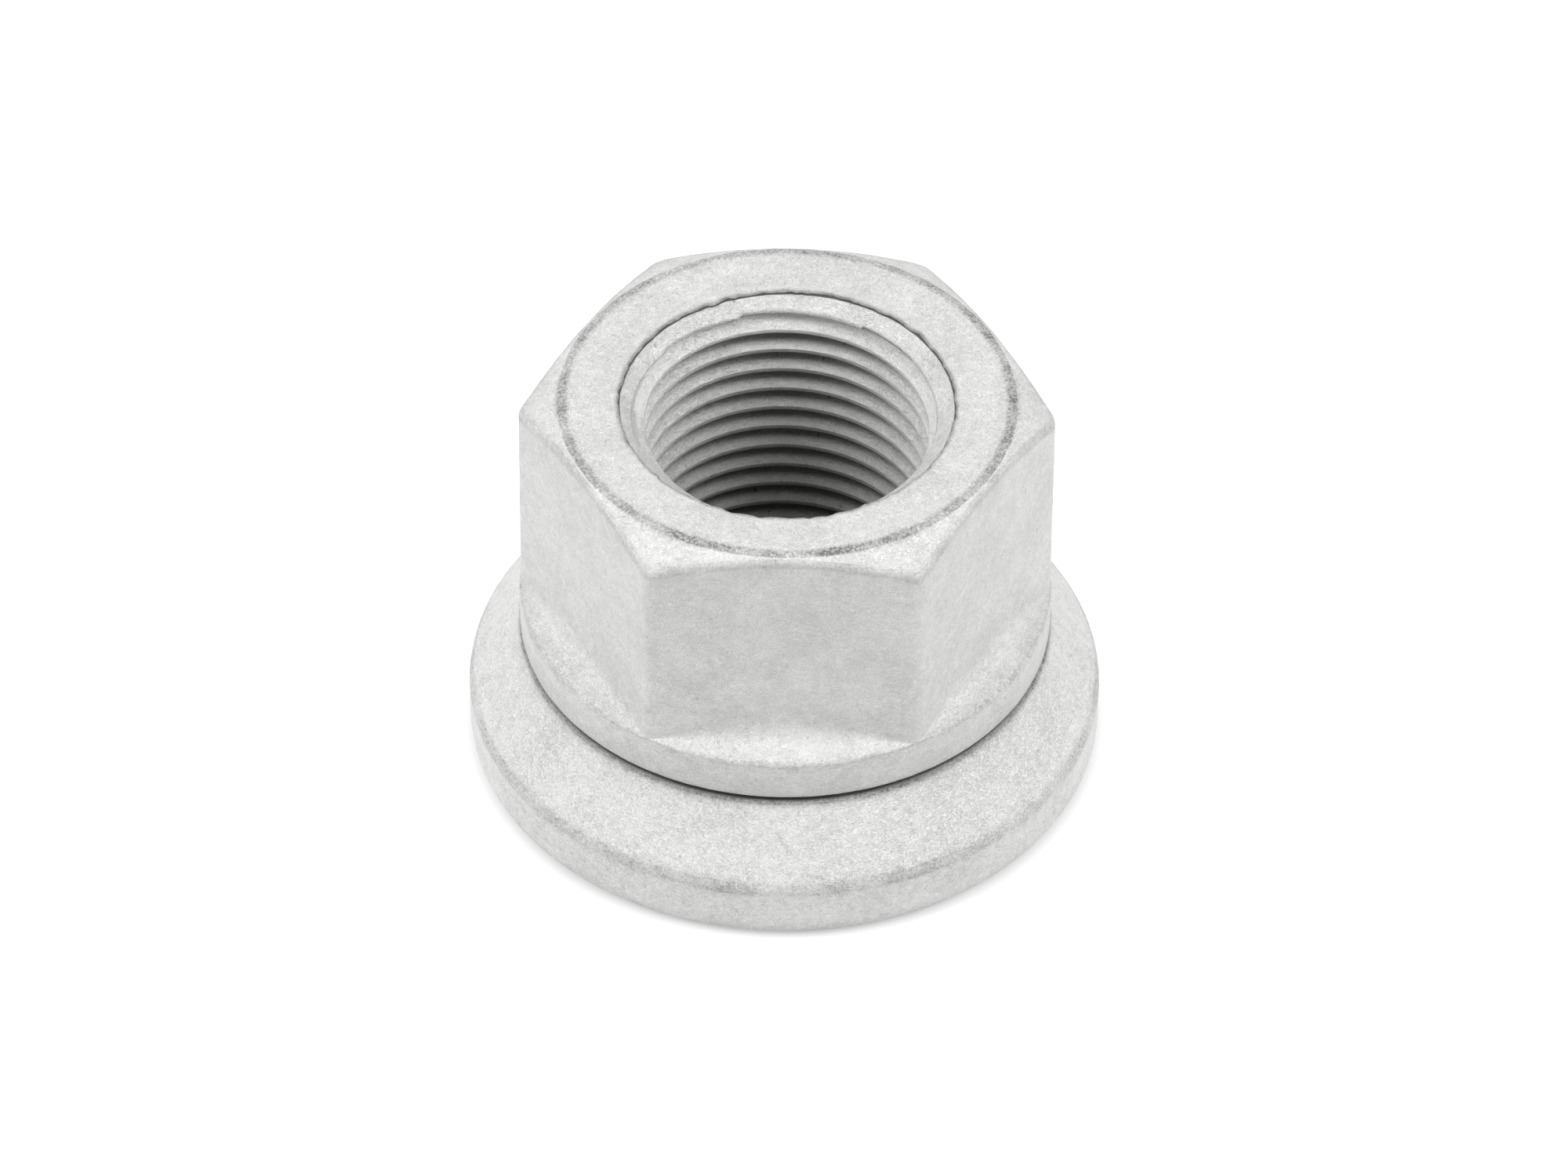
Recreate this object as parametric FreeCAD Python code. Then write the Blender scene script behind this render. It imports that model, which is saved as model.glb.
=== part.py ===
import FreeCAD, Part
import math
import os

# Wheel nut with a captive pressure washer, in millimetres.
# +Z runs along the thread axis, away from the wheel. The origin is the centre of the washer's
# bearing face. Two corners of the hexagon lie on the X axis, so two flats face along Y.

# Thread
thread_diameter = 18.0
thread_pitch = 1.5
minor_diameter_factor = 1.0825    # minor diameter = diameter - factor * pitch, as on any metric nut
mouth_chamfer = 1.46              # both ways, at 45 degrees

# Hexagon
wrench_size = 27.0
hexagon_height = 14.25            # from the collar's upper edge to the top face
corner_round = 1.05
crown_inset = 0.5                 # from a flat to the edge of the round top face
crown_slope = 28.0                # degrees below horizontal, on the turned corners

# Collar and the ramp that leads down to it from the flats
collar_margin = 0.06              # beyond the hexagon's corners
collar_band = 2.55
collar_round = 0.25
collar_foot_round = 0.12
ramp_slope = 15.0                 # degrees below horizontal
ramp_blend = 1.5                  # concave radius at the foot of the flats
blend_bury = 0.1                  # the blend's upright end lies this far inside the flats

# Neck that passes through the washer, rolled out at its end to hold it
neck_wall = 1.2                   # outside the thread's full diameter
neck_fillet = 0.3
lip_reach = 0.9                   # beyond the neck
lip_lift = 0.6                    # above the bearing face
lip_round = 0.35
throat_chamfer = 1.7              # widening of the bore inside the rolled lip

# Pressure washer
washer_height = 8.4
washer_rim = 3.8                  # height of its upright outer band
bearing_width = 4.9               # from the hollow underneath to the washer's outside
foot_round = 1.0
shoulder_round = 0.9
upper_edge_inset = 0.06           # from the collar's edge
upper_edge_round = 0.15
seat_width = 1.7                  # flat seat round the bore, where the collar bears
seat_drop = 0.45                  # the upper face falls away outside that seat
recess_depth = 2.4                # hollow underneath, for the rolled lip
recess_round = 0.4
recess_flare = 1.2
recess_mouth_round = 0.3

# Fits
washer_clearance = 0.25           # radial, neck to washer, so that the washer turns freely
washer_float = 0.4                # how far the washer can slide along the neck
lip_room = 1.3                    # radial, lip to recess wall
bore_chamfer_top = 0.5
bore_chamfer_bottom = 0.3

# Sizes worked out from the ones above
bore_radius = (thread_diameter - minor_diameter_factor * thread_pitch) / 2
mouth_radius = bore_radius + mouth_chamfer
flat_distance = wrench_size / 2
sharp_corner = flat_distance / math.cos(math.radians(30))
corner_reach = sharp_corner - corner_round * (1 / math.cos(math.radians(30)) - 1)
crown_radius = flat_distance - crown_inset

collar_radius = corner_reach + collar_margin
collar_bottom = washer_height
collar_top = collar_bottom + collar_band
nut_top = collar_top + hexagon_height
blend_radius = flat_distance - blend_bury
ramp_top = collar_top + (collar_radius - blend_radius) * math.tan(math.radians(ramp_slope))
blend_top = ramp_top + ramp_blend

neck_radius = thread_diameter / 2 + neck_wall
lip_radius = neck_radius + lip_reach

washer_bore = neck_radius + washer_clearance
upper_edge_radius = collar_radius - upper_edge_inset
seat_inner = washer_bore + bore_chamfer_top
seat_outer = seat_inner + seat_width
recess_radius = lip_radius + lip_room
bearing_inner = recess_radius + recess_flare
washer_radius = bearing_inner + bearing_width

# The lip's upper side slopes at 45 degrees and stops the washer's lower bore edge after the float
flare_start = recess_depth - washer_float + washer_clearance + bore_chamfer_bottom
flare_end = flare_start - lip_reach


def corner_arc(before, corner, after, radius):
    """Start, middle and end of the arc that rounds one corner of an outline."""
    towards_before = (before - corner).normalize()
    towards_after = (after - corner).normalize()
    half_angle = towards_before.getAngle(towards_after) / 2
    bisector = (towards_before + towards_after).normalize()
    cut_back = radius / math.tan(half_angle)
    depth = radius / math.sin(half_angle) - radius
    start = corner + towards_before * cut_back
    end = corner + towards_after * cut_back
    return start, corner + bisector * depth, end


def turned_solid(outline):
    """Revolve a closed outline of (radius, height, rounding) corners about the thread axis."""
    corners = [FreeCAD.Vector(radius, 0, height) for radius, height, _ in outline]
    edges = []
    ends = []
    for index, (_, _, rounding) in enumerate(outline):
        corner = corners[index]
        if rounding == 0:
            ends.append((corner, corner))
            continue
        after = corners[(index + 1) % len(corners)]
        start, middle, end = corner_arc(corners[index - 1], corner, after, rounding)
        edges.append(Part.Arc(start, middle, end).toShape())
        ends.append((start, end))
    for index, (_, end) in enumerate(ends):
        next_start = ends[(index + 1) % len(ends)][0]
        edges.append(Part.LineSegment(end, next_start).toShape())
    wire = Part.Wire(Part.__sortEdges__(edges))
    return Part.Face(wire).revolve(FreeCAD.Vector(0, 0, 0), FreeCAD.Vector(0, 0, 1), 360)


def hexagon():
    """Prism with rounded upright corners, turned to a flat ring at the top."""
    corners = []
    for step in range(7):
        angle = math.radians(60 * step)
        corners.append(FreeCAD.Vector(sharp_corner * math.cos(angle), sharp_corner * math.sin(angle), collar_bottom))
    prism = Part.Face(Part.makePolygon(corners)).extrude(FreeCAD.Vector(0, 0, nut_top - collar_bottom))
    uprights = [edge for edge in prism.Edges if abs(edge.tangentAt(edge.FirstParameter).z) > 0.9]
    prism = prism.makeFillet(corner_round, uprights)
    crown_base = nut_top - (sharp_corner - crown_radius) * math.tan(math.radians(crown_slope))
    crown = turned_solid([
        (0, 0, 0),
        (sharp_corner, 0, 0),
        (sharp_corner, crown_base, 0),
        (crown_radius, nut_top, 0),
        (0, nut_top, 0),
    ])
    return prism.common(crown)


def collar_and_neck():
    """Rolled lip, neck, collar and the concave ramp up to the flats, before boring."""
    return turned_solid([
        (0, lip_lift, 0),
        (lip_radius, lip_lift, lip_round),
        (lip_radius, flare_end, 0),
        (neck_radius, flare_start, 0),
        (neck_radius, collar_bottom, neck_fillet),
        (collar_radius, collar_bottom, collar_foot_round),
        (collar_radius, collar_top, collar_round),
        (blend_radius, ramp_top, ramp_blend),
        (blend_radius, blend_top + ramp_blend, 0),
        (0, blend_top + ramp_blend, 0),
    ])


def bore():
    """Plain hole at the thread's minor diameter, widened at both ends."""
    throat_radius = bore_radius + throat_chamfer
    return turned_solid([
        (0, 0, 0),
        (throat_radius, 0, 0),
        (throat_radius, lip_lift, 0),
        (bore_radius, lip_lift + throat_chamfer, 0),
        (bore_radius, nut_top - mouth_chamfer, 0),
        (mouth_radius, nut_top, 0),
        (mouth_radius, nut_top + mouth_chamfer, 0),
        (0, nut_top + mouth_chamfer, 0),
    ])


def nut_body():
    """The forged nut: hexagon, ramp, collar, neck and rolled lip in one piece."""
    return hexagon().fuse(collar_and_neck()).cut(bore()).removeSplitter()


def pressure_washer():
    """Conical washer that the neck holds captive and the collar presses on."""
    return turned_solid([
        (bearing_inner, 0, recess_mouth_round),
        (washer_radius, 0, foot_round),
        (washer_radius, washer_rim, shoulder_round),
        (upper_edge_radius, washer_height - seat_drop, upper_edge_round),
        (seat_outer, washer_height, 0),
        (seat_inner, washer_height, 0),
        (washer_bore, washer_height - bore_chamfer_top, 0),
        (washer_bore, recess_depth + bore_chamfer_bottom, 0),
        (washer_bore + bore_chamfer_bottom, recess_depth, 0),
        (recess_radius, recess_depth, recess_round),
    ])


pieces = {"nut_body": nut_body(), "pressure_washer": pressure_washer()}

os.makedirs("parts", exist_ok=True)
for name, shape in pieces.items():
    solid = shape.Solids[0]
    solid.exportStep("parts/" + name + ".step")
    box = solid.optimalBoundingBox(False, False)
    print(name, "solids", len(shape.Solids), "valid", shape.isValid(), "volume", round(solid.Volume, 1),
          "box", [round(value, 3) for value in (box.XMin, box.YMin, box.ZMin, box.XMax, box.YMax, box.ZMax)])
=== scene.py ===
import math

import bpy
from mathutils import Matrix, Vector


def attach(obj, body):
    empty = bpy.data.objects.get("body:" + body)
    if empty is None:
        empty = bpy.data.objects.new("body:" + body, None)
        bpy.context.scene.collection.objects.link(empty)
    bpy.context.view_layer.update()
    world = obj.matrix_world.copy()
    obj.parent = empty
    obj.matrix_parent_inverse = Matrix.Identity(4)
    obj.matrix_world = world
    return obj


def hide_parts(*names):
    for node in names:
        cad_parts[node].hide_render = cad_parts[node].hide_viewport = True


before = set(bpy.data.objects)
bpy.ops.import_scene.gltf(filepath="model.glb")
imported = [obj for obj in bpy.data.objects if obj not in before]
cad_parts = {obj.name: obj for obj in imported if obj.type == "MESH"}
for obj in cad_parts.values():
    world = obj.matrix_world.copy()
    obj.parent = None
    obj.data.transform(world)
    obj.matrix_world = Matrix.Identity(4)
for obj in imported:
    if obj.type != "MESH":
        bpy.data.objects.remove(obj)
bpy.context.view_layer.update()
mm = .001

# camera, at the photograph's angle; width, height and origin are in the photograph's pixels

cameraSizes = {"azimuth": .5, "elevation": 43.96, "distance": .606, "lens": 235.8, "sensor": 36,
               "roll": .563, "width": 2000, "height": 1500, "originX": 1001.7, "originY": 913.2}


def placeCamera(c):
    data = bpy.data.cameras.new("camera")
    data.lens, data.sensor_width = c["lens"], c["sensor"]
    data.clip_start, data.clip_end = .01, 20
    camera = bpy.data.objects.new("camera", data)
    bpy.context.scene.collection.objects.link(camera)
    tilt, swing = math.radians(c["elevation"]), Matrix.Rotation(math.radians(c["azimuth"]), 3, "Z")
    place = c["distance"] * (swing @ Vector((0, -math.cos(tilt), math.sin(tilt))))
    sideways = swing @ Vector((c["width"] / 2 - c["originX"], 0, 0))
    upward = swing @ Vector((0, math.sin(tilt), math.cos(tilt)))
    pixel = c["distance"] / (c["lens"] / c["sensor"] * c["width"])
    aim = (sideways + upward * (c["originY"] - c["height"] / 2)) * pixel
    turn = (aim - place).to_track_quat("-Z", "Y").to_matrix().to_4x4()
    roll = Matrix.Rotation(math.radians(c["roll"]), 4, "Z")
    camera.matrix_world = Matrix.Translation(place) @ turn @ roll
    bpy.context.scene.camera = camera


placeCamera(cameraSizes)
print("camera placed")

# formulas written out as nodes, for shapes and finishes alike


class Formula:
    def __init__(self, tree, socket):
        self.tree, self.socket = tree, socket

    def __add__(self, other):
        return calc("ADD", self, other)

    def __sub__(self, other):
        return calc("SUBTRACT", self, other)

    def __rsub__(self, other):
        return calc("SUBTRACT", other, self)

    def __mul__(self, other):
        return calc("MULTIPLY", self, other)

    def __truediv__(self, other):
        return calc("DIVIDE", self, other)

    def __rtruediv__(self, other):
        return calc("DIVIDE", other, self)

    __radd__, __rmul__ = __add__, __mul__


def feed(slot, value):
    if isinstance(value, Formula):
        value.tree.links.new(value.socket, slot)
    else:
        slot.default_value = value


def calc(operation, *values):
    tree = next(v.tree for v in values if isinstance(v, Formula))
    node = tree.nodes.new("ShaderNodeMath")
    node.operation = operation
    for slot, value in zip(node.inputs, values):
        feed(slot, value)
    return Formula(tree, node.outputs[0])


def clamp(value, low=0., high=1.):
    return calc("MINIMUM", calc("MAXIMUM", value, low), high)


def vectorCalc(operation, *values):
    tree = next(v.tree for v in values if isinstance(v, Formula))
    node = tree.nodes.new("ShaderNodeVectorMath")
    node.operation = operation
    slots = (node.inputs[0], node.inputs["Scale"]) if operation == "SCALE" else node.inputs
    for slot, value in zip(slots, values):
        feed(slot, value)
    return Formula(tree, node.outputs[0])


def addNode(tree, kind, output=0, settings=(), **inputs):
    # underscores in an input's name stand for spaces
    node = tree.nodes.new(kind)
    for name, value in dict(settings).items():
        setattr(node, name, value)
    for name, value in inputs.items():
        feed(node.inputs[name.replace("_", " ")], value)
    return Formula(tree, node.outputs[output])


def splitVector(vector):
    node = vector.tree.nodes.new("ShaderNodeSeparateXYZ")
    feed(node.inputs[0], vector)
    return [Formula(vector.tree, out) for out in node.outputs]


def joinVector(tree, x, y, z):
    return addNode(tree, "ShaderNodeCombineXYZ", X=x, Y=y, Z=z)


def newTree(name, kind, inputs, outputs):
    tree = bpy.data.node_groups.new(name, kind)
    for label, socketType, value in inputs:
        socket = tree.interface.new_socket(label, in_out="INPUT", socket_type="NodeSocket" + socketType)
        if value is not None:
            socket.default_value = value
    for label, socketType in outputs:
        tree.interface.new_socket(label, in_out="OUTPUT", socket_type="NodeSocket" + socketType)
    source, sink = tree.nodes.new("NodeGroupInput"), tree.nodes.new("NodeGroupOutput")
    return tree, {label: Formula(tree, source.outputs[label]) for label, _, _ in inputs}, sink


def useGroup(tree, group, inputs):
    kind = "GeometryNodeGroup" if tree.bl_idname == "GeometryNodeTree" else "ShaderNodeGroup"
    node = tree.nodes.new(kind)
    node.node_tree = group
    for name, value in inputs.items():
        feed(node.inputs[name], value)
    return {socket.name: Formula(tree, socket) for socket in node.outputs}


# outlines: one runs over the middle of a flat, the other over a corner of the hexagon

# the first edge mark is partly real wear and partly painted shade along edges and under lips; the second is
# painted shade in hollows, steps and grooves
edgeMarks = ["wear", "crevice"]     # these fade out along the outline on both sides of an edge
# of the even marks, the first gives coarser grain and a painted sheen on sloped forged faces, and the last
# is painted shade under the collar and in the washer's seat
evenMarks = ["coarse", "soft", "rough", "shift", "shade"]     # these pass evenly into the next corner's
edgeFade, usualEase = .13, .85     # mm; and how strongly the rows crowd towards the corners
surfaceMarks = {"wear": 1, "crevice": 1, "coarse": 1, "soft": mm, "rough": mm, "shift": mm}
threadMarks = {"crevice": 1, "backShade": 1}


def roundedOutline(corners):
    # each corner has a (radius, height) point on either outline; it is cut back by its cut, rounded in
    # arc steps and joined to the next corner by run steps
    rows = []

    def addRow(flat, corner, *values):
        row = dict(zip(edgeMarks + evenMarks, values), flat=flat, corner=corner)
        # painted shade that runs evenly between corners joins the painted shade that fades from edges
        row["crevice"] = max(row["crevice"], row["shade"])
        rows.append(row)

    def ends(side, cutName, index):
        here = Vector(corners[index][side])
        cut = corners[index].get(cutName, corners[index].get("cut", 0))
        before = Vector(corners[max(index - 1, 0)][side])
        after = Vector(corners[min(index + 1, len(corners) - 1)][side])
        start = here + (before - here).normalized() * cut if index else here
        end = here + (after - here).normalized() * cut if index < len(corners) - 1 else here
        return start, here, end

    def marksAt(index):
        return [corners[index].get(name, 0) for name in edgeMarks + evenMarks]

    for index, c in enumerate(corners):
        sides = [ends("flat", "cut", index), ends("corner", "cutCorner", index)]
        marks = marksAt(index)
        arc = c.get("arc", 0)
        for step in range(arc + 1):
            t = step / arc if arc else .5
            points = [a * (1 - t) ** 2 + b * 2 * t * (1 - t) + e * t * t for a, b, e in sides]
            addRow(*points, *marks)
        if index == len(corners) - 1:
            break
        nextMarks = marksAt(index + 1)
        nextSides = [ends("flat", "cut", index + 1), ends("corner", "cutCorner", index + 1)]
        length = max((nextSide[0] - side[2]).length for side, nextSide in zip(sides, nextSides))
        ease = c.get("ease", usualEase)
        for step in range(1, c.get("run", 1)):
            t = step / c["run"]
            t = t * (1 - ease) + (.5 - .5 * math.cos(math.pi * t)) * ease
            points = [side[2].lerp(nextSide[0], t) for side, nextSide in zip(sides, nextSides)]
            fade, nextFade = math.exp(-t * length / edgeFade), math.exp(-(1 - t) * length / edgeFade)
            edge = [a * fade + b * nextFade for a, b in zip(marks[:2], nextMarks[:2])]
            flow = [a * (1 - t) + b * t for a, b in zip(marks[2:], nextMarks[2:])]
            addRow(*points, *edge, *flow)
    return rows


def outlineMesh(name, rows, marks):
    mesh = bpy.data.meshes.new(name)
    mesh.from_pydata([(r["flat"][0] * mm, 0, r["flat"][1] * mm) for r in rows],
                     [(i, i + 1) for i in range(len(rows) - 1)], [])
    overCorner = mesh.attributes.new("overCorner", "FLOAT_VECTOR", "POINT")
    for item, row in zip(overCorner.data, rows):
        item.vector = (row["corner"][0] * mm, 0, row["corner"][1] * mm)
    for label, scale in marks.items():
        layer = mesh.attributes.new(label, "FLOAT", "POINT")
        for item, row in zip(layer.data, rows):
            item.value = row[label] * scale
    shape = bpy.data.objects.new(name, mesh)
    bpy.context.scene.collection.objects.link(shape)
    return shape


# shared node groups for the shapes

def columnAngle(position, crowding):
    # columns stand closer together at the hexagon's corners
    around, along, _ = splitVector(position)
    even = (around + .5) * math.tau
    return even - crowding * calc("SINE", even * 6), along


def countRows(tree, outline):
    return addNode(tree, "GeometryNodeAttributeDomainSize", "Point Count", Geometry=outline)


def sampleRow(tree, outline, row, value, kind):
    return addNode(tree, "GeometryNodeSampleIndex", settings={"data_type": kind, "domain": "POINT"},
                   Geometry=outline, Value=value, Index=row)


def namedValue(tree, name, kind):
    return addNode(tree, "GeometryNodeInputNamedAttribute", settings={"data_type": kind}, Name=name)


def storeMarks(tree, surface, marks):
    for name, value in marks.items():
        surface = addNode(tree, "GeometryNodeStoreNamedAttribute",
                          settings={"data_type": "FLOAT", "domain": "POINT"},
                          Geometry=surface, Name=name, Value=value)
    return surface


def turnGroup():
    # turns an outline about the thread axis, going from the flat's outline to the corner's and back
    tree, given, sink = newTree("turnOutline", "GeometryNodeTree", [
        ("Outline", "Geometry", None), ("Columns", "Int", 240), ("Crowding", "Float", 0.),
        ("Flat Distance", "Float", .0135), ("Corner Round", "Float", .001),
        ("Wave Length", "Float", .004), ("Ripple Length", "Float", .0009), ("Ceiling", "Float", 1.)],
        [("Surface", "Geometry")])
    outline = given["Outline"]
    rowCount = countRows(tree, outline)
    grid = addNode(tree, "GeometryNodeMeshGrid", Size_X=1, Size_Y=1,
                   Vertices_X=given["Columns"] + 1, Vertices_Y=rowCount)
    position = addNode(tree, "GeometryNodeInputPosition")
    angle, along = columnAngle(position, given["Crowding"])
    row = calc("ROUND", (along + .5) * (rowCount - 1))
    flatRadius, _, flatHeight = splitVector(sampleRow(tree, outline, row, position, "FLOAT_VECTOR"))
    overCorner = namedValue(tree, "overCorner", "FLOAT_VECTOR")
    cornerRadius, _, cornerHeight = splitVector(sampleRow(tree, outline, row, overCorner, "FLOAT_VECTOR"))
    marks = {name: sampleRow(tree, outline, row, namedValue(tree, name, "FLOAT"), "FLOAT")
             for name in surfaceMarks}

    # how far the rounded hexagon reaches at this angle, as a share of the way from flat to corner
    flat, roundness = given["Flat Distance"], given["Corner Round"]
    sixth = math.radians(60)
    fromCorner = calc("ABSOLUTE", calc("MODULO", angle + sixth / 2, sixth) - sixth / 2)
    sharp = flat / calc("COSINE", sixth / 2 - fromCorner)
    centre = (flat - roundness) / math.cos(sixth / 2)
    across = centre * calc("SINE", fromCorner)
    inside = calc("MAXIMUM", roundness * roundness - across * across, 0.)
    bent = centre * calc("COSINE", fromCorner) + calc("SQRT", inside)
    tangent = sixth / 2 - calc("ARCTANGENT", centre * .5 / flat)
    isBent = calc("LESS_THAN", fromCorner, tangent)
    reach = sharp + (bent - sharp) * isBent
    share = (reach - flat) / (centre + roundness - flat)
    radius = flatRadius + (cornerRadius - flatRadius) * share - marks["shift"] * calc("SINE", angle)
    height = flatHeight + (cornerHeight - flatHeight) * share
    smooth = joinVector(tree, radius * calc("COSINE", angle), radius * calc("SINE", angle), height)

    # unevenness: long soft waves and short ripples
    middle = (.5, .5, .5)
    wave = addNode(tree, "ShaderNodeTexNoise", 1, Vector=smooth, Scale=1 / given["Wave Length"],
                   Detail=1.5)
    ripple = addNode(tree, "ShaderNodeTexNoise", 1, Vector=smooth, Scale=1 / given["Ripple Length"],
                     Detail=2.)
    large = vectorCalc("SCALE", vectorCalc("SUBTRACT", wave, middle), marks["soft"] * 2)
    small = vectorCalc("SCALE", vectorCalc("SUBTRACT", ripple, middle), marks["rough"] * 2)
    x, y, z = splitVector(vectorCalc("ADD", smooth, vectorCalc("ADD", large, small)))
    place = joinVector(tree, x, y, calc("MINIMUM", z, given["Ceiling"]))
    surface = storeMarks(tree, grid, {name: marks[name] for name in ("wear", "crevice", "coarse")})
    surface = addNode(tree, "GeometryNodeSetPosition", Geometry=surface, Position=place)
    feed(sink.inputs["Surface"], surface)
    return tree


# the edge that the pressed mouth has pushed down over the first groove, in metres
burrShape = {"lean": .00006, "rise": .00004, "ragged": .00006, "noiseScale": 1400., "noiseRadius": .0085}

# how dark the painted shade in the grooves and under the burr is; heights and widths in metres, the rest
# are shares
grooveShade = {"openedFrom": .0002, "openedOver": .0017, "fullDepth": .023, "lipWidth": .00014,
               "lipAllRound": .35, "lipAtBack": .62, "grooveAllRound": .6, "grooveAtBack": .3,
               "throatFrom": .0025, "throatOver": .003, "cutFrom": .00002, "coneCoarseAndSheen": .6,
               "boreCoarseAndSheen": 1.}


def threadGroup(edge, dark):
    # a helical strip whose rows repeat the thread's profile, opened out by a cone at each end
    tree, given, sink = newTree("cutThread", "GeometryNodeTree", [
        ("Profile", "Geometry", None), ("Columns", "Int", 240), ("Crowding", "Float", 0.),
        ("Pitch", "Float", .0015), ("Turns", "Int", 18), ("Start", "Float", 0.),
        ("Mouth Radius", "Float", .0096), ("Mouth Height", "Float", .025),
        ("Throat Radius", "Float", .0098), ("Throat Height", "Float", .0007),
        ("Off Centre", "Float", 0.), ("Chatter", "Float", 0.), ("Burr Height", "Float", .0242)],
        [("Surface", "Geometry")])
    profile = given["Profile"]
    perTurn = countRows(tree, profile)
    rowCount = perTurn * given["Turns"]
    grid = addNode(tree, "GeometryNodeMeshGrid", Size_X=1, Size_Y=1,
                   Vertices_X=given["Columns"] + 1, Vertices_Y=rowCount + 1)
    position = addNode(tree, "GeometryNodeInputPosition")
    angle, along = columnAngle(position, given["Crowding"])
    row = calc("ROUND", (along + .5) * rowCount)
    turn = calc("FLOOR", (row + .5) / perTurn)
    inTurn = calc("ROUND", row - turn * perTurn)
    profilePoint = sampleRow(tree, profile, inTurn, position, "FLOAT_VECTOR")
    profileRadius, _, profileHeight = splitVector(profilePoint)
    rawHeight = given["Start"] + given["Pitch"] * (turn + angle / math.tau) + profileHeight
    height = clamp(rawHeight, given["Throat Height"], given["Mouth Height"])
    offCentre = given["Off Centre"] * calc("SINE", angle)
    mouthCone = given["Mouth Radius"] - (given["Mouth Height"] - height) - offCentre
    throatCone = given["Throat Radius"] - (height - given["Throat Height"])
    cone = calc("MAXIMUM", mouthCone, throatCone)

    spot = joinVector(tree, calc("COSINE", angle) * edge["noiseRadius"],
                      calc("SINE", angle) * edge["noiseRadius"], rawHeight)
    rough = addNode(tree, "ShaderNodeTexNoise", Vector=spot, Scale=edge["noiseScale"], Detail=2.) - .5
    backness = calc("SINE", angle)
    lean = (1 - backness) * edge["rise"] - calc("COSINE", angle) * edge["lean"]
    burr = given["Burr Height"] + lean + rough * edge["ragged"]
    overBurr = calc("GREATER_THAN", rawHeight, burr)
    cut = profileRadius + rough * given["Chatter"]
    radius = calc("MAXIMUM", cut * (1 - overBurr), cone)

    # painted shade: a line of it under the burr's edge, and in the grooves thin all round, wider at the
    # back and growing with depth, but none in the first groove, which the mouth opens, and none in the
    # throat, which is open to light
    grooveMark, backMark = (sampleRow(tree, profile, inTurn, namedValue(tree, name, "FLOAT"), "FLOAT")
                            for name in threadMarks)
    inThread = calc("GREATER_THAN", radius - cone, dark["cutFrom"])
    facing = calc("POWER", calc("MAXIMUM", backness, 0.), 2.)
    under = given["Burr Height"] - rawHeight
    opened = clamp((under - dark["openedFrom"]) / dark["openedOver"])
    deep = calc("MAXIMUM", under / dark["fullDepth"], 0.) * calc("POWER", facing, 3.)
    lipShare = dark["lipAllRound"] + dark["lipAtBack"] * facing
    lip = calc("GREATER_THAN", dark["lipWidth"], under) * (1 - overBurr) * lipShare
    allRound = grooveMark * (dark["grooveAllRound"] + dark["grooveAtBack"] * facing)
    groove = (allRound + (1 - grooveMark) * backMark * facing) * opened
    fromThroat = clamp((height - dark["throatFrom"]) / dark["throatOver"])
    darkest = calc("MINIMUM", calc("MAXIMUM", groove + (1 - groove) * deep, lip), 1.)
    shade = inThread * fromThroat * darkest
    place = joinVector(tree, radius * calc("COSINE", angle), radius * calc("SINE", angle), height)
    # the bore gets coarser grain and more painted sheen than the cones
    coarse = dark["coneCoarseAndSheen"] + inThread * (dark["boreCoarseAndSheen"] - dark["coneCoarseAndSheen"])
    surface = storeMarks(tree, grid, {"crevice": shade, "bore": inThread, "coarse": coarse})
    surface = addNode(tree, "GeometryNodeSetPosition", Geometry=surface, Position=place)
    feed(sink.inputs["Surface"], surface)
    return tree


turnOutline, cutThread = turnGroup(), threadGroup(burrShape, grooveShade)


def finishTree(tree, sink, surface, material):
    welded = addNode(tree, "GeometryNodeMergeByDistance", Geometry=surface, Distance=.0015 * mm)
    shaded = addNode(tree, "GeometryNodeSetShadeSmooth", Geometry=welded, Shade_Smooth=True)
    real = addNode(tree, "GeometryNodeRealizeInstances", Geometry=shaded)
    feed(sink.inputs["Piece"], addNode(tree, "GeometryNodeSetMaterial", Geometry=real, Material=material))


def shapePiece(name, base, tree, inputs, helpers=()):
    # inputs are set by identifier before the first evaluation, and the result becomes a plain mesh
    modifier = base.modifiers.new("shape", "NODES")
    modifier.node_group = tree
    for item in tree.interface.items_tree:
        if item.item_type == "SOCKET" and item.in_out == "INPUT" and item.name in inputs:
            modifier[item.identifier] = inputs[item.name]
    graph = bpy.context.evaluated_depsgraph_get()
    mesh = bpy.data.meshes.new_from_object(base.evaluated_get(graph), depsgraph=graph)
    mesh.name = name
    base.modifiers.remove(modifier)
    for helper in (base, *helpers):
        bpy.data.objects.remove(helper)
    if signedVolume(mesh) < 0:
        mesh.flip_normals()
    piece = bpy.data.objects.new(name, mesh)
    bpy.context.scene.collection.objects.link(piece)
    print(name, "faces", len(mesh.polygons), "volume mm3", round(signedVolume(mesh) * 1e9, 1),
          "open edges", looseEdges(mesh))
    return piece


def signedVolume(mesh):
    mesh.calc_loop_triangles()
    total = 0
    for triangle in mesh.loop_triangles:
        a, b, c = (mesh.vertices[v].co for v in triangle.vertices)
        total += a.dot(b.cross(c)) / 6
    return total


def looseEdges(mesh):
    used = {}
    for polygon in mesh.polygons:
        for key in polygon.edge_keys:
            used[key] = used.get(key, 0) + 1
    return sum(1 for count in used.values() if count != 2)


# finishes

# how strongly each noise of the coating shows, and from what level its pits and its spots of painted glint
# appear
flakeMix = {"contrast": 2.4, "limit": .7, "flake": .4, "blotch": .26, "cloud": .2, "cloudScale": .22,
            "pitScale": .45, "pitFrom": .7, "pitGain": 8., "pitDepth": .8,
            "glintScale": .7, "glintFrom": .55, "glintGain": 9.}


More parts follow.
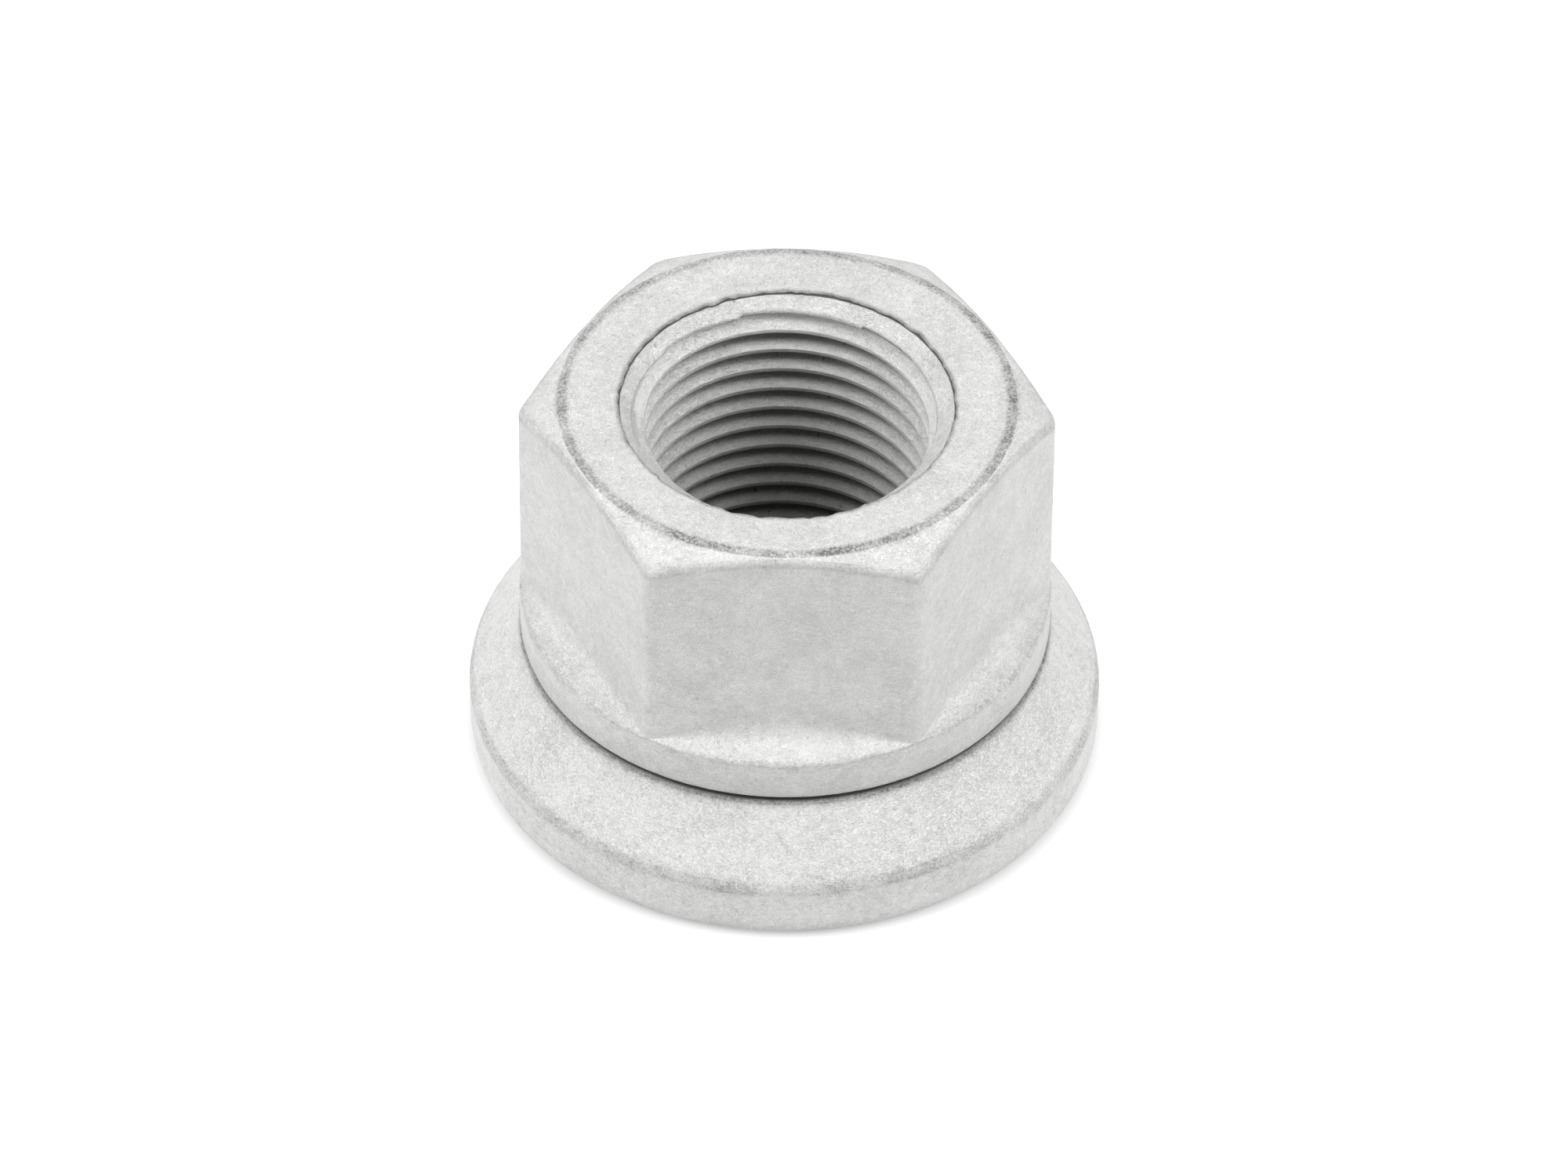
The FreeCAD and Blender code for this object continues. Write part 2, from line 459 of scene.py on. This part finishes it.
def grainGroup(mix):
    # zinc-flake coating: fine curled flakes, soft blotches and the low hills of a forged surface
    tree, given, sink = newTree("flakeCoating", "ShaderNodeTree", [
        ("Place", "Vector", None), ("Flake Size", "Float", .00012), ("Blotch Size", "Float", .0007),
        ("Hill Size", "Float", .0016), ("Flake Height", "Float", 1.), ("Hill Height", "Float", 1.)],
        [("Shade", "Float"), ("Height", "Float"), ("Speck", "Float"), ("Glint", "Float")])
    place = given["Place"]
    flat = vectorCalc("MULTIPLY", place, (1., 1., 1.5))     # flakes lie a little along the faces
    fine, broad = 1 / given["Flake Size"], 1 / given["Blotch Size"]
    flake = addNode(tree, "ShaderNodeTexNoise", Vector=flat, Scale=fine, Detail=2.5, Roughness=.65,
                    Distortion=2.)
    flake = clamp((flake - .5) * mix["contrast"], -mix["limit"], mix["limit"])
    blotch = addNode(tree, "ShaderNodeTexNoise", Vector=place, Scale=broad, Detail=3., Roughness=.6)
    cloud = addNode(tree, "ShaderNodeTexNoise", Vector=place, Scale=broad * mix["cloudScale"], Detail=2.)
    hill = addNode(tree, "ShaderNodeTexNoise", Vector=place, Scale=1 / given["Hill Size"], Detail=2.,
                   Roughness=.5)
    pit = addNode(tree, "ShaderNodeTexNoise", Vector=place, Scale=fine * mix["pitScale"], Detail=1.,
                  Roughness=.5)
    speck = calc("MAXIMUM", pit - mix["pitFrom"], 0.) * mix["pitGain"]
    spark = addNode(tree, "ShaderNodeTexNoise", Vector=flat, Scale=fine * mix["glintScale"], Detail=1.5,
                    Distortion=1.)
    shade = flake * mix["flake"] + (blotch - .5) * mix["blotch"] + (cloud - .5) * mix["cloud"]
    relief = flake * given["Flake Height"] + (hill - .5) * given["Hill Height"]
    feed(sink.inputs["Shade"], shade)
    feed(sink.inputs["Height"], relief - speck * mix["pitDepth"])
    feed(sink.inputs["Speck"], calc("MINIMUM", speck, 1.))
    feed(sink.inputs["Glint"], clamp((spark - mix["glintFrom"]) * mix["glintGain"]))
    return tree


# how patchy the dark edge line is, partly rubbing and partly painted shade under lips, and where chips
# break out of it
scuffAndShadeMix = {"patches": 3, "linePatches": 2.2, "lineChips": 3.5, "lineLimit": 1.3,
            "chipFrom": .68, "chipMore": .2, "chipGain": 8}


def scuffAndShadeGroup(mix):
    # a soft dark line along edges, partly rubbed wear and partly painted shade under lips and rounded
    # edges, with small dark chips where it is worn most
    tree, given, sink = newTree("edgeScuffAndShade", "ShaderNodeTree", [
        ("Place", "Vector", None), ("Edge", "Float", 0.), ("Chip Size", "Float", .00016),
        ("Patch Size", "Float", .0022), ("Line", "Float", .3), ("Chips", "Float", 1.)],
        [("Mask", "Float")])
    place, edge = given["Place"], given["Edge"]
    chip = addNode(tree, "ShaderNodeTexNoise", Vector=place, Scale=1 / given["Chip Size"], Detail=2.5,
                   Roughness=.6)
    patch = addNode(tree, "ShaderNodeTexNoise", Vector=place, Scale=1 / given["Patch Size"], Detail=2.)
    worn = calc("MAXIMUM", edge * (.5 + (patch - .5) * mix["patches"]), 0.)
    strength = 1 + (patch - .5) * mix["linePatches"] + (chip - .5) * mix["lineChips"]
    line = clamp(edge * strength, 0., mix["lineLimit"])
    chips = clamp((chip - mix["chipFrom"] + worn * mix["chipMore"]) * mix["chipGain"])
    chips = chips * calc("MINIMUM", worn * 2, 1.)
    feed(sink.inputs["Mask"], line * given["Line"] + chips * given["Chips"])
    return tree


flakeCoating, edgeScuffAndShade = grainGroup(flakeMix), scuffAndShadeGroup(scuffAndShadeMix)


def readMark(tree, name):
    return addNode(tree, "ShaderNodeAttribute", "Fac", settings={"attribute_name": name})


def coating(name, look):
    material = bpy.data.materials.new(name)
    material.use_nodes = True
    tree = material.node_tree
    shader = tree.nodes["Principled BSDF"]
    place = addNode(tree, "ShaderNodeTexCoord", "Object")
    wear, crevice, coarse, bore = (readMark(tree, mark) for mark in ("wear", "crevice", "coarse", "bore"))
    grain = useGroup(tree, flakeCoating, {
        "Place": place, "Flake Size": look["flake"], "Blotch Size": look["blotch"],
        "Hill Size": look["hill"], "Hill Height": look["hillHeight"]})
    scuffAndEdgeShade = useGroup(tree, edgeScuffAndShade, {
        "Place": place, "Edge": wear, "Line": look["line"], "Chips": look["chips"]})["Mask"]
    along = vectorCalc("MULTIPLY", place, (.18, .18, 1.))     # tool marks run round the bore
    streak = addNode(tree, "ShaderNodeTexNoise", Vector=along, Scale=look["streakScale"], Detail=2.) - .5

    # grain and glints: the coarse mark gives coarser grain, and also lightens sloped forged faces, the
    # mouth's edge and the bore as a painted sheen where the overhead light falls; the glints are painted
    # highlights; the bore is lighter all over, with streaks along its turns
    flakes = grain["Shade"] * (look["flakeShade"] + coarse * look["coarseShade"])
    paintedGlints = grain["Glint"] * coarse * look["paintedGlint"]
    boreTone = (look["boreLift"] + streak * look["boreStreak"]) * bore
    paintedSheenLift = look["plain"] + coarse * look["paintedSheen"]
    bright = calc("MINIMUM", (1 + flakes + paintedGlints + boreTone) * paintedSheenLift, look["brightest"])
    tone = vectorCalc("SCALE", joinVector(tree, *look["colour"]), bright)
    # the coat darkens towards a dark colour by painted shade in hollows and grooves (with ragged edges), by
    # edge lines that are partly wear and partly painted shade, by chips and by pits
    ragged = crevice * (1 - crevice) * grain["Shade"] * look["ragged"]
    wearAndPaintedShade = scuffAndEdgeShade + crevice * look["paintedShadeDark"] + ragged + grain["Speck"] * look["speckDark"]
    wearAndPaintedShade = clamp(wearAndPaintedShade, 0., look["wearAndShadeLimit"])
    mixed = tree.nodes.new("ShaderNodeMix")
    mixed.data_type = "RGBA"
    feed(mixed.inputs["Factor"], wearAndPaintedShade)
    feed(mixed.inputs[6], tone)
    feed(mixed.inputs[7], (*look["shadeAndWearColour"], 1))
    tree.links.new(mixed.outputs[2], shader.inputs["Base Color"])
    grainRough = grain["Shade"] * look["roughShade"]
    feed(shader.inputs["Roughness"], look["roughness"] + grainRough + wearAndPaintedShade * look["wearAndShadeRough"])
    feed(shader.inputs["Metallic"], look["metallic"] * (1 - wearAndPaintedShade * look["wearAndShadeDull"]))

    bump = tree.nodes.new("ShaderNodeBump")
    bump.inputs["Strength"].default_value = 1
    bump.inputs["Distance"].default_value = look["relief"]
    grainRelief = grain["Height"] * (look["grainRelief"] + coarse * look["coarseRelief"])
    boreRelief = streak * bore * look["streakRelief"]
    feed(bump.inputs["Height"], grainRelief - scuffAndEdgeShade * look["scuffRelief"] + boreRelief)
    tree.links.new(bump.outputs[0], shader.inputs["Normal"])
    return material


nutLook = {
    "colour": (.74, .74, .73), "shadeAndWearColour": (.09, .09, .08), "roughness": .5, "roughShade": .5, "metallic": .4,
    "flake": .00019, "blotch": .0006, "hill": .0013, "hillHeight": 1.5, "relief": .00003,
    "plain": .92, "paintedSheen": .22, "brightest": 1.25, "flakeShade": 1.1, "coarseShade": .5, "paintedGlint": .16,
    "streakScale": 9000., "boreLift": .12, "boreStreak": .7, "streakRelief": 3,
    "grainRelief": .7, "coarseRelief": .8, "scuffRelief": .6,
    "line": .36, "chips": .34, "paintedShadeDark": .94, "speckDark": .22, "ragged": 2.5,
    "wearAndShadeLimit": .97, "wearAndShadeRough": .2, "wearAndShadeDull": .5}
washerLook = dict(nutLook, relief=.000034, line=.24, chips=.2)
nutCoating, washerCoating = coating("nutCoating", nutLook), coating("washerCoating", washerLook)
print("finishes made")

# the forged nut, in mm

nutSizes = {
    "top": 25.19, "flatDistance": 13.5, "cornerRound": 1.05, "ringRadius": 13.0,
    "crownSlope": 28, "crownRound": .32, "mouthRadius": 9.66, "mouthStep": .19, "offCentre": .3,
    "collarRadius": 15.48, "collarTop": 10.95, "collarBottom": 8.4, "rampSlope": 15, "rampBlend": 1.25,
    "neckRadius": 10.2, "flareStart": 2.55, "flareEnd": 1.65, "lipRadius": 11.1, "lipLift": .6,
    "throatRadius": 9.888, "columns": 300, "crowding": .125, "unevenness": .035, "waveLength": 5}

threadSizes = {"pitch": 1.5, "crestRadius": 8.188, "rootRadius": 9.0, "turns": 18, "chatter": .02,
               "crestAtBack": 23.12, "turnsBelowIt": 16, "burrHeight": 24.12}


def ring(radius, height, **more):
    return dict(flat=(radius, height), corner=(radius, height), **more)


def nutOutline(s):
    reach = (s["flatDistance"] - s["cornerRound"]) / math.cos(math.radians(30)) + s["cornerRound"]
    fall = math.tan(math.radians(s["crownSlope"]))
    ramp = math.tan(math.radians(s["rampSlope"]))
    soft = s["unevenness"]
    crownFoot = [(r, s["top"] - (r - s["ringRadius"]) * fall) for r in (s["flatDistance"], reach)]
    foot = [(r, s["collarTop"] + (s["collarRadius"] - r) * ramp) for r in (s["flatDistance"], reach)]
    step = s["top"] - s["mouthStep"]
    return roundedOutline([
        # the bore's mouth, with painted shade under its step
        ring(s["mouthRadius"] - .075, step - .015, crevice=1, coarse=.8, shift=s["offCentre"]),
        ring(s["mouthRadius"] - .06, step, cut=.01, arc=1, run=3, crevice=1, coarse=.6, rough=.1,
             shift=s["offCentre"]),
        ring(s["mouthRadius"], s["top"], cut=.07, arc=3, run=5, wear=.3, crevice=.5, coarse=1.5,
             rough=.26, shift=s["offCentre"]),
        ring(s["mouthRadius"] + .5, s["top"], run=5, coarse=.3, shift=s["offCentre"] * .85),
        # the top ring's edge, the crown, the flats and the ramp
        ring(s["ringRadius"], s["top"], cut=.2, arc=5, run=8, wear=1.25, coarse=.6, rough=.05),
        dict(flat=crownFoot[0], corner=crownFoot[1], cut=s["crownRound"] * .8,
             cutCorner=s["crownRound"], arc=5, run=20, wear=.45, coarse=.2, soft=soft, rough=.03, ease=.7),
        dict(flat=foot[0], corner=foot[1], cut=s["rampBlend"], cutCorner=.02, arc=8, run=6, coarse=.3,
             soft=soft * .6, rough=.015),
        # the collar, and its underside and the neck in painted shade
        ring(s["collarRadius"], s["collarTop"], cut=.16, cutCorner=.035, arc=4, run=6, wear=.4,
             coarse=1, rough=.05, shade=.05),
        ring(s["collarRadius"], s["collarBottom"], cut=.11, arc=3, run=2, wear=.2, coarse=.3, rough=.02,
             shade=.12),
        ring(s["collarRadius"] - .2, s["collarBottom"], run=4, shade=.95),
        ring(s["neckRadius"], s["collarBottom"], cut=.3, arc=2, run=5, shade=1),
        # the rolled lip, with some painted shade where it meets the neck, and the throat
        ring(s["neckRadius"], s["flareStart"], cut=.08, arc=1, run=2, shade=.4),
        ring(s["lipRadius"], s["flareEnd"], cut=.12, arc=2, run=2, crevice=.2),
        ring(s["lipRadius"], s["lipLift"], cut=.33, arc=4, run=2, wear=.5),
        ring(s["throatRadius"], s["lipLift"], cut=.05, arc=2, run=1, wear=.5),
        ring(s["throatRadius"] - .1, s["lipLift"] + .1),
    ])


def threadProfile(s):
    # height in mm, share of the groove's depth, painted shade all round, painted shade at the back
    crest, root = s["crestRadius"], s["rootRadius"]
    rise = [(-.1, 0, 0, .7), (.09, 0, 0, .7), (.13, .03, 0, 0), (.28, .27, 0, .05), (.4, .5, 0, .4),
            (.49, .68, .1, .85), (.57, .85, .9, 1), (.66, .99, 1, 1)]
    fall = [(.84, .99, 1, 1), (.94, .83, 1, 1), (1.1, .5, 1, 1), (1.3, .1, .9, 1), (1.37, .01, 0, 1)]
    return [{"flat": (crest + (root - crest) * k, z), "corner": (0, 0), "crevice": a, "backShade": b}
            for z, k, a, b in rise + fall]


def nutTree():
    tree, given, sink = newTree("wheelNutShape", "GeometryNodeTree", [
        ("Outline", "Geometry", None), ("Thread Profile", "Object", None),
        ("Columns", "Int", 240), ("Crowding", "Float", 0.),
        ("Flat Distance", "Float", .0135), ("Corner Round", "Float", .0007),
        ("Pitch", "Float", .0015), ("Turns", "Int", 18), ("Thread Start", "Float", 0.),
        ("Mouth Radius", "Float", .0096), ("Mouth Height", "Float", .025),
        ("Throat Radius", "Float", .0098), ("Throat Height", "Float", .0007),
        ("Off Centre", "Float", 0.), ("Chatter", "Float", 0.), ("Burr Height", "Float", .0242),
        ("Wave Length", "Float", .005), ("Ceiling", "Float", 1.)],
        [("Piece", "Geometry")])
    outsideNames = ("Outline", "Columns", "Crowding", "Flat Distance", "Corner Round", "Wave Length",
                    "Ceiling")
    threadNames = ("Columns", "Crowding", "Pitch", "Turns", "Mouth Radius", "Mouth Height",
                   "Throat Radius", "Throat Height", "Off Centre", "Chatter", "Burr Height")
    outside = useGroup(tree, turnOutline, {name: given[name] for name in outsideNames})
    profile = addNode(tree, "GeometryNodeObjectInfo", "Geometry", Object=given["Thread Profile"])
    thread = useGroup(tree, cutThread, {
        **{name: given[name] for name in threadNames}, "Start": given["Thread Start"], "Profile": profile})
    joined = tree.nodes.new("GeometryNodeJoinGeometry")
    for part in (outside, thread):
        feed(joined.inputs[0], part["Surface"])
    finishTree(tree, sink, Formula(tree, joined.outputs[0]), nutCoating)
    return tree


outlineRows = nutOutline(nutSizes)
nutBase = outlineMesh("nutOutline", outlineRows, surfaceMarks)
profileBase = outlineMesh("threadProfile", threadProfile(threadSizes), threadMarks)
mouthPoint, throatPoint = outlineRows[0]["flat"], outlineRows[-1]["flat"]
pitch = threadSizes["pitch"]
threadStart = threadSizes["crestAtBack"] - pitch / 4 - threadSizes["turnsBelowIt"] * pitch
wheelNut = shapePiece("wheelNut", nutBase, nutTree(), {
    "Thread Profile": profileBase, "Columns": nutSizes["columns"], "Crowding": nutSizes["crowding"],
    "Flat Distance": nutSizes["flatDistance"] * mm, "Corner Round": nutSizes["cornerRound"] * mm,
    "Pitch": pitch * mm, "Turns": threadSizes["turns"], "Thread Start": threadStart * mm,
    "Mouth Radius": mouthPoint[0] * mm, "Mouth Height": mouthPoint[1] * mm,
    "Throat Radius": throatPoint[0] * mm, "Throat Height": throatPoint[1] * mm,
    "Off Centre": nutSizes["offCentre"] * mm, "Chatter": threadSizes["chatter"] * mm,
    "Burr Height": threadSizes["burrHeight"] * mm, "Wave Length": nutSizes["waveLength"] * mm,
    "Ceiling": nutSizes["top"] * mm}, [profileBase])
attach(wheelNut, "nut")
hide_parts("nut_body")
print("nut made")

# the pressure washer, in mm

washerSizes = {
    "radius": 18.48, "rim": 3.8, "footRound": 1.25, "shoulderRound": .35, "height": 8.4,
    "edgeRadius": 15.42, "edgeDrop": .45, "seatInner": 10.95, "seatOuter": 12.65,
    "bore": 10.45, "boreTop": 7.9, "boreBottom": 2.7, "recessRoof": 2.4, "recessRadius": 12.4,
    "bearingInner": 13.6, "columns": 360, "unevenness": .03, "waveLength": 4, "rippleLength": .5}


def washerOutline(s):
    soft = s["unevenness"]
    return roundedOutline([
        # the bearing face and the outside
        ring(s["bearingInner"] + 1, 0, run=4),
        ring(s["radius"], 0, cut=s["footRound"], arc=8, run=8, coarse=.7),
        ring(s["radius"], s["rim"], cut=s["shoulderRound"], arc=6, run=16, wear=.75, coarse=.9,
             soft=soft, rough=.03),
        ring(s["edgeRadius"], s["height"] - s["edgeDrop"], cut=.1, arc=4, run=2, wear=1, crevice=.3,
             coarse=1, rough=.06),
        # the seat and the bore, in painted shade under the collar
        ring(s["edgeRadius"] - .22, s["height"] - s["edgeDrop"] + .03, run=8, shade=.95),
        ring(s["seatOuter"], s["height"] - .01, cut=.1, arc=2, run=4, shade=1),
        ring(s["seatInner"], s["height"] - .01, cut=.1, arc=2, run=2, shade=1),
        ring(s["bore"], s["boreTop"], cut=.1, arc=2, run=6, shade=.8),
        ring(s["bore"], s["boreBottom"], cut=.1, arc=2, run=2, crevice=.6),
        # the hollow underneath, with painted shade in its corners
        ring(s["bore"] + .3, s["recessRoof"], cut=.08, arc=2, run=4, crevice=.5),
        ring(s["recessRadius"], s["recessRoof"], cut=.4, arc=4, run=5, crevice=.3),
        ring(s["bearingInner"], 0, cut=.3, arc=4, run=4),
        ring(s["bearingInner"] + 1, 0),
    ])


def washerTree():
    inputs = [("Outline", "Geometry", None), ("Columns", "Int", 360), ("Wave Length", "Float", .004),
              ("Ripple Length", "Float", .0005)]
    tree, given, sink = newTree("pressureWasherShape", "GeometryNodeTree", inputs, [("Piece", "Geometry")])
    turned = useGroup(tree, turnOutline, given)
    finishTree(tree, sink, turned["Surface"], washerCoating)
    return tree


washerBase = outlineMesh("washerOutline", washerOutline(washerSizes), surfaceMarks)
pressureWasher = shapePiece("pressureWasher", washerBase, washerTree(), {
    "Columns": washerSizes["columns"], "Wave Length": washerSizes["waveLength"] * mm,
    "Ripple Length": washerSizes["rippleLength"] * mm})
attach(pressureWasher, "washer")
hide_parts("pressure_washer")
print("washer made")

# floor, world and lamps

studio = {"floorSide": 3, "floorPaint": .4, "floorGlow": .85, "shadeFrom": .0165, "shadeTo": .0195,
          "world": .35}

# name, azimuth and elevation in degrees, distance and size in metres, power in watts
lamps = [
    ("leftBox", -75, 38, .8, .5, 2.9),
    ("rightBox", 75, 38, .8, .5, 2.9),
    ("leftHigh", -60, 60, .8, .5, 1.),
    ("rightHigh", 60, 60, .8, .5, 1.1),
    ("frontBox", 0, 30, .9, .4, .25),
    ("backHigh", 180, 60, .8, .6, .3),
    ("backLeft", -135, 35, .8, .5, .85),
    ("backRight", 135, 35, .8, .5, .35),
]


def makeFloor(s):
    mesh = bpy.data.meshes.new("floor")
    side = s["floorSide"]
    mesh.from_pydata([(-side, -side, 0), (side, -side, 0), (side, side, 0), (-side, side, 0)], [],
                     [(0, 1, 2, 3)])
    floor = bpy.data.objects.new("floor", mesh)
    bpy.context.scene.collection.objects.link(floor)
    material = bpy.data.materials.new("floorPaper")
    material.use_nodes = True
    tree = material.node_tree
    shader = tree.nodes["Principled BSDF"]
    shader.inputs["Roughness"].default_value = 1
    shader.inputs["Specular IOR Level"].default_value = 0
    light = tree.nodes.new("ShaderNodeLightPath")
    rays = [Formula(tree, light.outputs[f"Is {kind} Ray"]) for kind in ("Camera", "Glossy", "Transmission")]
    seen = calc("MINIMUM", rays[0] + rays[1] + rays[2], 1.)
    x, y, _ = splitVector(addNode(tree, "ShaderNodeTexCoord", "Object"))
    away = calc("SQRT", x * x + y * y)     # the paper under the nut is in its shade
    # the glow is taken off the paper under the nut, a painted shadow there for camera and reflected rays
    lit = clamp((away - s["shadeFrom"]) / (s["shadeTo"] - s["shadeFrom"]))
    shader.inputs["Base Color"].default_value = (s["floorPaint"], s["floorPaint"], s["floorPaint"], 1)
    shader.inputs["Emission Color"].default_value = (1, 1, 1, 1)
    feed(shader.inputs["Emission Strength"], seen * lit * s["floorGlow"])
    mesh.materials.append(material)


def makeWorld(s):
    world = bpy.data.worlds.new("studioWorld")
    bpy.context.scene.world = world
    world.use_nodes = True
    tree = world.node_tree
    background = tree.nodes["Background"]
    background.inputs["Color"].default_value = (1, 1, 1, 1)
    light = tree.nodes.new("ShaderNodeLightPath")
    seen = Formula(tree, light.outputs["Is Camera Ray"])
    feed(background.inputs["Strength"], s["world"] + seen * (1 - s["world"]))


def softLamp(name, azimuth, elevation, distance, size, power):
    data = bpy.data.lights.new(name, "AREA")
    data.shape, data.size, data.energy = "DISK", size, power
    lamp = bpy.data.objects.new(name, data)
    bpy.context.scene.collection.objects.link(lamp)
    a, e = math.radians(azimuth), math.radians(elevation)
    lamp.location = distance * Vector((math.sin(a) * math.cos(e), -math.cos(a) * math.cos(e), math.sin(e)))
    lamp.rotation_euler = lamp.location.to_track_quat("Z", "Y").to_euler()


makeFloor(studio)
makeWorld(studio)
for lamp in lamps:
    softLamp(*lamp)
bpy.context.scene.view_settings.view_transform = "Standard"
print("studio made")
